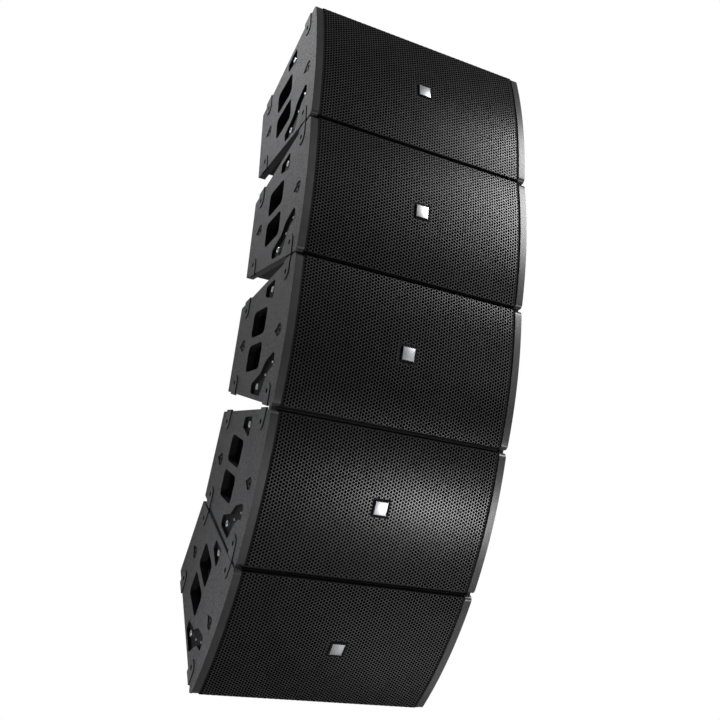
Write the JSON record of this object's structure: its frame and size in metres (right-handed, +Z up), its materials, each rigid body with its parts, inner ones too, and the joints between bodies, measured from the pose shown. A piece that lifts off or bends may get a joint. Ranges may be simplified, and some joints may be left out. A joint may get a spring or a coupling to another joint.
{
  "type": "line array loudspeaker",
  "caption": "Hanging curved line array: wedge-shaped loudspeaker modules with perforated grilles and side handles, hinged at the front and set by slotted bars at the rear.",
  "frame": {"origin": "centre of the rear top pin hole in the steel channel of the top module, midway between the channel's two flanges", "axes": "+X to the right of someone facing the grilles, +Y to the rear, +Z up along the top module's height"},
  "size_m": [0.605, 0.8068, 1.5916],
  "materials": {
    "cabinet_paint": "black textured paint on plywood",
    "cheek_paint": "dark grey textured paint on plywood, satin on the front edge",
    "grille_steel": "black powder coat, satin",
    "badge_metal": "satin grey metal",
    "driver": "matte black",
    "horn_moulding": "matte black moulding",
    "panel_steel": "black powder coat",
    "rigging_steel": "black powder coat, slightly glossy",
    "bar_steel": "black powder coat",
    "bright_steel": "bright zinc and stainless steel"
  },
  "bodies": {
    "module_1": {"cabinet_1": "cabinet_paint", "left_cheek_1": "cheek_paint", "right_cheek_1": "cheek_paint", "grille_1": "grille_steel", "badge_1": "badge_metal", "woofer_1": "driver", "horn_1": "horn_moulding", "rear_panel_1": "panel_steel", "rigging_1": "rigging_steel", "fixings_1": "bright_steel"},
    "module_2": {"cabinet_2": "cabinet_paint", "left_cheek_2": "cheek_paint", "right_cheek_2": "cheek_paint", "grille_2": "grille_steel", "badge_2": "badge_metal", "woofer_2": "driver", "horn_2": "horn_moulding", "rear_panel_2": "panel_steel", "rigging_2": "rigging_steel", "fixings_2": "bright_steel"},
    "module_3": {"cabinet_3": "cabinet_paint", "left_cheek_3": "cheek_paint", "right_cheek_3": "cheek_paint", "grille_3": "grille_steel", "badge_3": "badge_metal", "woofer_3": "driver", "horn_3": "horn_moulding", "rear_panel_3": "panel_steel", "rigging_3": "rigging_steel", "fixings_3": "bright_steel"},
    "module_4": {"cabinet_4": "cabinet_paint", "left_cheek_4": "cheek_paint", "right_cheek_4": "cheek_paint", "grille_4": "grille_steel", "badge_4": "badge_metal", "woofer_4": "driver", "horn_4": "horn_moulding", "rear_panel_4": "panel_steel", "rigging_4": "rigging_steel", "fixings_4": "bright_steel"},
    "module_5": {"cabinet_5": "cabinet_paint", "left_cheek_5": "cheek_paint", "right_cheek_5": "cheek_paint", "grille_5": "grille_steel", "badge_5": "badge_metal", "woofer_5": "driver", "horn_5": "horn_moulding", "rear_panel_5": "panel_steel", "rigging_5": "rigging_steel", "fixings_5": "bright_steel"},
    "splay_bar_1": {"splay_bar_1": "bar_steel"},
    "splay_pin_1": {"splay_pin_1": "bright_steel"},
    "splay_bar_2": {"splay_bar_2": "bar_steel"},
    "splay_pin_2": {"splay_pin_2": "bright_steel"},
    "splay_bar_3": {"splay_bar_3": "bar_steel"},
    "splay_pin_3": {"splay_pin_3": "bright_steel"},
    "splay_bar_4": {"splay_bar_4": "bar_steel"},
    "splay_pin_4": {"splay_pin_4": "bright_steel"}
  },
  "joints": [
    {"name": "splay_1", "type": "hinge", "parent": "module_1", "child": "module_2", "pos_m": [0, -0.34, -0.26525], "axis": [1, 0, 0], "range_deg": [-8.5, 11.5]},
    {"name": "splay_2", "type": "hinge", "parent": "module_2", "child": "module_3", "pos_m": [0, -0.28819, -0.6119], "axis": [1, 0, 0], "range_deg": [-8, 12]},
    {"name": "splay_3", "type": "hinge", "parent": "module_3", "child": "module_4", "pos_m": [0, -0.18865, -0.94797], "axis": [1, 0, 0], "range_deg": [-13, 7]},
    {"name": "splay_4", "type": "hinge", "parent": "module_4", "child": "module_5", "pos_m": [0, -0.01605, -1.25303], "axis": [1, 0, 0], "range_deg": [-19, 1]},
    {"name": "splay_bar_1_pivot", "type": "hinge", "parent": "module_1", "child": "splay_bar_1", "pos_m": [0, 0, -0.18], "axis": [1, 0, 0], "range_deg": [-4.25, 5.75]},
    {"name": "splay_bar_2_pivot", "type": "hinge", "parent": "module_2", "child": "splay_bar_2", "pos_m": [0, 0.03547, -0.47733], "axis": [1, 0, 0], "range_deg": [-4, 6]},
    {"name": "splay_bar_3_pivot", "type": "hinge", "parent": "module_3", "child": "splay_bar_3", "pos_m": [0, 0.11314, -0.76966], "axis": [1, 0, 0], "range_deg": [-6.5, 3.5]},
    {"name": "splay_bar_4_pivot", "type": "hinge", "parent": "module_4", "child": "splay_bar_4", "pos_m": [0, 0.23789, -1.0114], "axis": [1, 0, 0], "range_deg": [-9.5, 0.5]},
    {"name": "splay_pin_1_pull", "type": "slide", "parent": "module_2", "child": "splay_pin_1", "axis": [1, 0, 0], "range_m": [0, 0.04]},
    {"name": "splay_pin_2_pull", "type": "slide", "parent": "module_3", "child": "splay_pin_2", "axis": [1, 0, 0], "range_m": [0, 0.04]},
    {"name": "splay_pin_3_pull", "type": "slide", "parent": "module_4", "child": "splay_pin_3", "axis": [1, 0, 0], "range_m": [0, 0.04]},
    {"name": "splay_pin_4_pull", "type": "slide", "parent": "module_5", "child": "splay_pin_4", "axis": [1, 0, 0], "range_m": [0, 0.04]}
  ],
  "couplings": [
    {"joint": "splay_bar_1_pivot", "follows": "splay_1", "ratio": 0.5},
    {"joint": "splay_bar_2_pivot", "follows": "splay_2", "ratio": 0.5},
    {"joint": "splay_bar_3_pivot", "follows": "splay_3", "ratio": 0.5},
    {"joint": "splay_bar_4_pivot", "follows": "splay_4", "ratio": 0.5}
  ]
}
